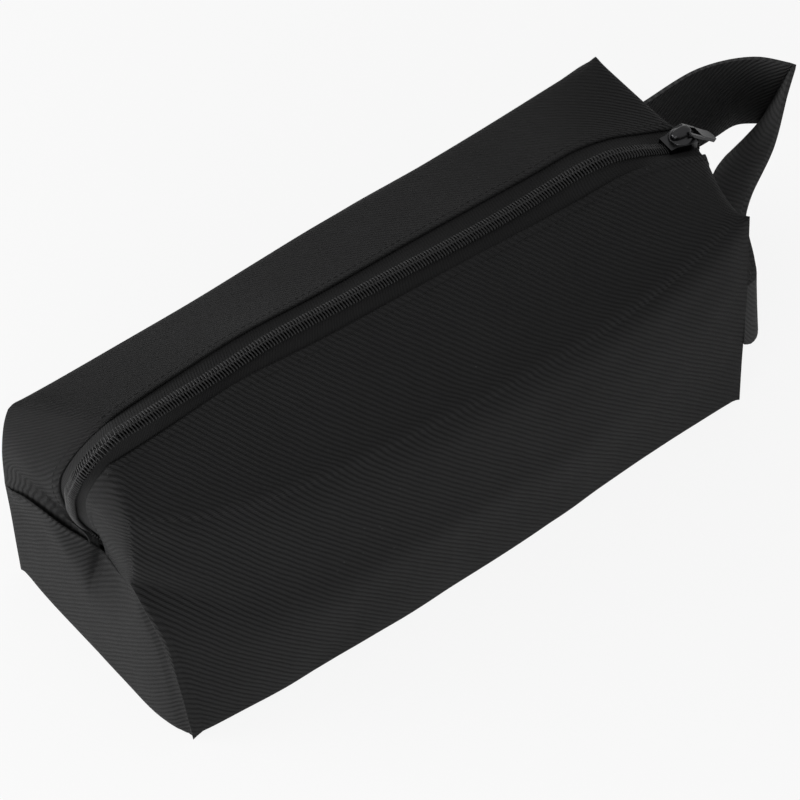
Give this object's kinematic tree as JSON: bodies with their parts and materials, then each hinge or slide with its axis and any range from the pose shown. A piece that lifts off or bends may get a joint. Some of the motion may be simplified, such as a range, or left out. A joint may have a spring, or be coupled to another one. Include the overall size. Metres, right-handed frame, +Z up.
{
  "type": "zippered tool bag",
  "caption": "Soft box-shaped cloth tool bag with a coil zipper over the top, a locking slider with a pull tab and a webbing handle loop at one end",
  "frame": {"origin": "middle of the underside of the base", "axes": "+X along the bag to the handle end, -Y to the front, +Z up"},
  "size_m": [0.373, 0.1087, 0.128],
  "materials": {
    "cloth": "matt coated twill",
    "binding": "matt woven tape",
    "tape": "matt woven tape",
    "coil": "satin nylon",
    "slider": "polished plated zinc",
    "spring": "bright spring steel",
    "webbing": "matt ribbed webbing"
  },
  "bodies": {
    "bag": {"base_panel": "cloth", "front_panel": "cloth", "back_panel": "cloth", "left_end_lower": "cloth", "left_end_upper_front": "cloth", "left_end_upper_back": "cloth", "right_end_lower": "cloth", "right_end_upper_front": "cloth", "right_end_upper_back": "cloth", "left_end_binding": "binding", "right_end_binding": "binding", "left_front_binding": "binding", "left_back_binding": "binding", "right_front_binding": "binding", "right_back_binding": "binding", "zipper_tape_front": "tape", "zipper_tape_back": "tape", "zipper_coil_front": "coil", "zipper_coil_back": "coil", "handle_root_front": "webbing", "handle_root_back": "webbing"},
    "slider": {"slider_body": "slider", "slider_cap": "slider", "lock_pawl": "spring"},
    "pull": {"pull_tab": "slider"},
    "handle": {"handle_loop": "webbing"}
  },
  "joints": [
    {"name": "slider_travel", "type": "slide", "parent": "bag", "child": "slider", "axis": [0.9968, -0.0286, -0.0741], "range_m": [-0.25, 0], "deforming": ["zipper_tape_front", "zipper_tape_back", "zipper_coil_front", "zipper_coil_back"]},
    {"name": "pull_swing", "type": "hinge", "parent": "slider", "child": "pull", "pos_m": [0.14323, -0.00186, 0.11227], "axis": [-0.0287, -0.9996, 0], "range_deg": [0, 220]},
    {"name": "handle_swing", "type": "hinge", "parent": "bag", "child": "handle", "pos_m": [0.15, 0, 0.049], "axis": [0, -1, 0], "range_deg": [-20, 36], "stiffness_Nm_per_rad": 0.08, "springref_deg": 2.29, "deforming": ["handle_root_front", "handle_root_back"]}
  ]
}
